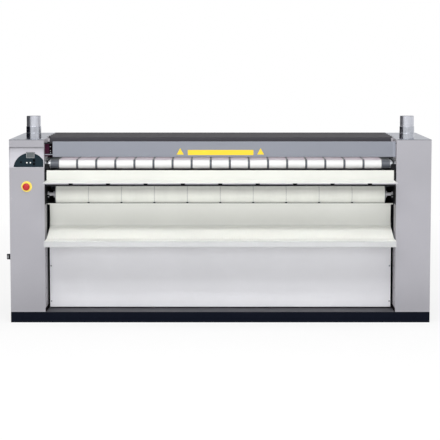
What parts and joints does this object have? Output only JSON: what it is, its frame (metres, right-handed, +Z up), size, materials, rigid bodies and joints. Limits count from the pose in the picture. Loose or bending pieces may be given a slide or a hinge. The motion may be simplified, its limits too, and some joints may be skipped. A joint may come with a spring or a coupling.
{
  "type": "flatwork ironer",
  "caption": "Flatwork drying ironer: heated cylinder with ironing bands, band feed with finger guard, return tray, two end columns with exhaust ducts, control panel and emergency stop.",
  "frame": {"origin": "centre of the plinth's footprint, on the floor", "axes": "+X to the right along the machine as seen from the front, +Y to the back, +Z up"},
  "size_m": [3.5703, 1.545, 1.733],
  "materials": {
    "black_frame": "satin",
    "plinth_blue": "satin",
    "floor_grey": "satin",
    "stainless": "brushed",
    "galvanised": "spangled",
    "white_paint": "gloss",
    "grey_paint": "satin",
    "guard_grey": "satin",
    "hood_black": "satin",
    "bands_felt": "woven",
    "feed_cotton": "woven",
    "steel": "turned",
    "polished": "polished",
    "arch_green": "satin",
    "display": "gloss",
    "yellow": "gloss",
    "red": "gloss",
    "black_plastic": "matt",
    "white_plastic": "gloss",
    "dark_plastic": "matt",
    "belt_rubber": "matt",
    "cast": "cast",
    "motor_blue": "satin",
    "maroon": "satin",
    "box_grey": "textured"
  },
  "bodies": {
    "machine": {"base_plinth": "plinth_blue", "floor_plate": "floor_grey", "leveling_feet": "black_plastic", "side_frame_left": "black_frame", "side_frame_right": "black_frame", "cross_beams": "black_frame", "column_front_left": "stainless", "column_front_right": "stainless", "column_side_left": "stainless", "column_side_right": "stainless", "column_tops": "stainless", "column_backs": "stainless", "top_hood": "hood_black", "lower_front_panel": "grey_paint", "rear_panels": "grey_paint", "cylinder_bearings": "cast", "roller_bearings": "cast", "ironing_bands": "bands_felt", "feed_bands": "feed_cotton", "feed_table": "galvanised", "guard_switch_plate": "maroon", "feed_shelf": "white_paint", "shelf_brackets": "black_frame", "receiving_tray": "white_paint", "tray_brackets": "black_frame", "stripper_bar": "black_frame", "duct_collars": "galvanised", "duct_pipes": "galvanised", "fan_housings": "galvanised", "drive_belt": "belt_rubber", "gearmotor": "motor_blue", "heater_bundle": "steel", "electrical_box": "box_grey", "control_fascia": "stainless", "control_panel": "arch_green", "display_window": "display", "e_stop_base": "yellow", "isolator_base": "black_plastic"},
    "cylinder": {"cylinder_shell": "polished", "cylinder_heads": "steel", "cylinder_pulley": "cast"},
    "feed_roller": {"feed_roller": "steel"},
    "feed_nose_roller": {"feed_nose_roller": "steel"},
    "top_guide_roller": {"top_guide_roller": "steel"},
    "exit_roller": {"exit_roller": "steel"},
    "lower_guide_roller": {"lower_guide_roller": "steel"},
    "rear_lower_roller": {"rear_lower_roller": "steel"},
    "rear_upper_roller": {"rear_upper_roller": "steel"},
    "motor_pulley": {"motor_pulley": "cast"},
    "fan_impeller_left": {"fan_impeller_left": "galvanised"},
    "fan_impeller_right": {"fan_impeller_right": "galvanised"},
    "isolator_knob": {"isolator_knob": "black_plastic"},
    "key_dark": {"key_dark": "dark_plastic"},
    "key_white_left": {"key_white_left": "white_plastic"},
    "key_white_right": {"key_white_right": "white_plastic"},
    "key_up": {"key_up": "dark_plastic"},
    "key_down": {"key_down": "dark_plastic"},
    "e_stop_stem": {"e_stop_stem": "black_plastic"},
    "e_stop_button": {"e_stop_button": "red"},
    "finger_guard": {"guard_panel": "guard_grey"}
  },
  "joints": [
    {"name": "cylinder_spin", "type": "hinge", "parent": "machine", "child": "cylinder", "pos_m": [0, 0.034, 1.115], "axis": [1, 0, 0], "continuous": true},
    {"name": "feed_roller_spin", "type": "hinge", "parent": "machine", "child": "feed_roller", "pos_m": [0, -0.508, 1.3307], "axis": [1, 0, 0], "continuous": true},
    {"name": "feed_nose_roller_spin", "type": "hinge", "parent": "machine", "child": "feed_nose_roller", "pos_m": [0, -0.14, 1.3492], "axis": [1, 0, 0], "continuous": true},
    {"name": "top_guide_roller_spin", "type": "hinge", "parent": "machine", "child": "top_guide_roller", "pos_m": [0, -0.04468, 1.40864], "axis": [1, 0, 0], "continuous": true},
    {"name": "exit_roller_spin", "type": "hinge", "parent": "machine", "child": "exit_roller", "pos_m": [0, -0.29, 1.05787], "axis": [1, 0, 0], "continuous": true},
    {"name": "lower_guide_roller_spin", "type": "hinge", "parent": "machine", "child": "lower_guide_roller", "pos_m": [0, -0.17, 0.79], "axis": [1, 0, 0], "continuous": true},
    {"name": "rear_lower_roller_spin", "type": "hinge", "parent": "machine", "child": "rear_lower_roller", "pos_m": [0, 0.385, 0.83], "axis": [1, 0, 0], "continuous": true},
    {"name": "rear_upper_roller_spin", "type": "hinge", "parent": "machine", "child": "rear_upper_roller", "pos_m": [0, 0.385, 1.36], "axis": [1, 0, 0], "continuous": true},
    {"name": "motor_pulley_spin", "type": "hinge", "parent": "machine", "child": "motor_pulley", "pos_m": [0, 0.034, 0.3], "axis": [1, 0, 0], "continuous": true},
    {"name": "fan_left_spin", "type": "hinge", "parent": "machine", "child": "fan_impeller_left", "pos_m": [-1.565, -0.38, 1.392], "axis": [1, 0, 0], "continuous": true},
    {"name": "fan_right_spin", "type": "hinge", "parent": "machine", "child": "fan_impeller_right", "pos_m": [1.565, -0.38, 1.392], "axis": [1, 0, 0], "continuous": true},
    {"name": "finger_guard_swing", "type": "hinge", "parent": "machine", "child": "finger_guard", "pos_m": [0, -0.5625, 1.507], "axis": [1, 0, 0], "range_deg": [0, 12], "stiffness_Nm_per_rad": 3, "springref_deg": -22.92},
    {"name": "key_dark_press", "type": "slide", "parent": "machine", "child": "key_dark", "axis": [0, 0.9945, -0.1047], "range_m": [0, 0.0015], "stiffness_N_per_m": 400, "springref_m": -0.0005},
    {"name": "key_white_left_press", "type": "slide", "parent": "machine", "child": "key_white_left", "axis": [0, 0.9945, -0.1047], "range_m": [0, 0.0015], "stiffness_N_per_m": 400, "springref_m": -0.0005},
    {"name": "key_white_right_press", "type": "slide", "parent": "machine", "child": "key_white_right", "axis": [0, 0.9945, -0.1047], "range_m": [0, 0.0015], "stiffness_N_per_m": 400, "springref_m": -0.0005},
    {"name": "key_up_press", "type": "slide", "parent": "machine", "child": "key_up", "axis": [0, 0.9945, -0.1047], "range_m": [0, 0.0015], "stiffness_N_per_m": 400, "springref_m": -0.0005},
    {"name": "key_down_press", "type": "slide", "parent": "machine", "child": "key_down", "axis": [0, 0.9945, -0.1047], "range_m": [0, 0.0015], "stiffness_N_per_m": 400, "springref_m": -0.0005},
    {"name": "e_stop_push", "type": "slide", "parent": "machine", "child": "e_stop_stem", "axis": [0, 1, 0], "range_m": [0, 0.006]},
    {"name": "e_stop_turn", "type": "hinge", "parent": "e_stop_stem", "child": "e_stop_button", "pos_m": [-1.618, -0.6, 1.147], "axis": [0, 1, 0], "range_deg": [0, 30], "stiffness_Nm_per_rad": 0.05, "springref_deg": -5.73},
    {"name": "isolator_turn", "type": "hinge", "parent": "machine", "child": "isolator_knob", "pos_m": [-1.762, -0.45, 0.54], "axis": [1, 0, 0], "range_deg": [0, 90]}
  ],
  "couplings": [
    {"joint": "feed_roller_spin", "follows": "cylinder_spin", "ratio": 6.9444},
    {"joint": "feed_nose_roller_spin", "follows": "cylinder_spin", "ratio": 14.286},
    {"joint": "top_guide_roller_spin", "follows": "cylinder_spin", "ratio": -5},
    {"joint": "exit_roller_spin", "follows": "cylinder_spin", "ratio": -3.3333},
    {"joint": "lower_guide_roller_spin", "follows": "cylinder_spin", "ratio": -5.5556},
    {"joint": "rear_lower_roller_spin", "follows": "cylinder_spin", "ratio": -5},
    {"joint": "rear_upper_roller_spin", "follows": "cylinder_spin", "ratio": -5},
    {"joint": "motor_pulley_spin", "follows": "cylinder_spin", "ratio": 3.1667}
  ]
}
